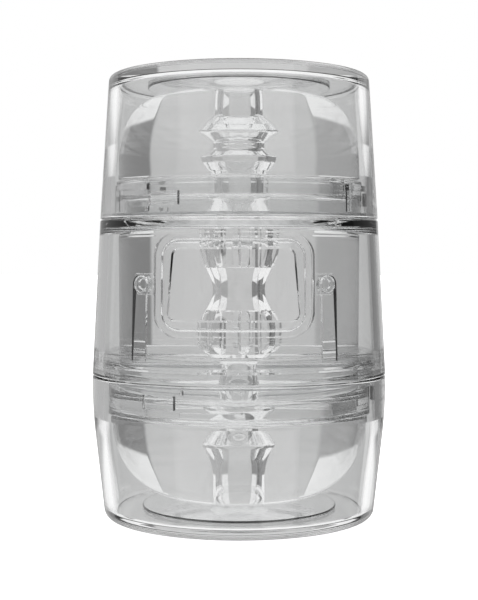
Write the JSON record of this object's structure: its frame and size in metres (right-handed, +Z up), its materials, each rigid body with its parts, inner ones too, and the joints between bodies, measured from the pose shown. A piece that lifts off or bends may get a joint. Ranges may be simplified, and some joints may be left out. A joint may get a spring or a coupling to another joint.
{
  "type": "double-ended sleeve case",
  "caption": "Clear hand-held case with a twist-lock cap at each end, a finger window, and a soft clear sleeve with a shaped channel held inside.",
  "frame": {"origin": "middle of the base, on the surface that the case stands on", "axes": "+Z up along the case's axis, -Y out through the finger window, +X to the right as seen from the window"},
  "size_m": [0.0762, 0.0762, 0.114],
  "materials": {
    "clear_plastic": "clear, polished",
    "clear_gel": "clear, soft",
    "clear_silicone": "clear, satin"
  },
  "bodies": {
    "case": {"case_shell": "clear_plastic", "lower_lock_ring": "clear_plastic", "window_frame": "clear_plastic", "left_frame_stud": "clear_plastic", "right_frame_stud": "clear_plastic", "sleeve": "clear_gel"},
    "top_seal": {"top_seal": "clear_silicone"},
    "top_cap": {"top_cap": "clear_plastic", "top_cap_disc": "clear_plastic"},
    "bottom_seal": {"bottom_seal": "clear_silicone"},
    "bottom_cap": {"bottom_cap": "clear_plastic", "bottom_cap_disc": "clear_plastic"}
  },
  "joints": [
    {"name": "top_cap_turn", "type": "hinge", "parent": "case", "child": "top_seal", "pos_m": [0, 0, 0.0768], "axis": [0, 0, -1], "range_deg": [0, 25]},
    {"name": "top_cap_lift", "type": "slide", "parent": "top_seal", "child": "top_cap", "axis": [0, 0, 1], "range_m": [0, 0.04]},
    {"name": "bottom_cap_turn", "type": "hinge", "parent": "case", "child": "bottom_seal", "pos_m": [0, 0, 0.0366], "axis": [0, 0, 1], "range_deg": [0, 25]},
    {"name": "bottom_cap_lift", "type": "slide", "parent": "bottom_seal", "child": "bottom_cap", "axis": [0, 0, -1], "range_m": [0, 0.04]}
  ]
}
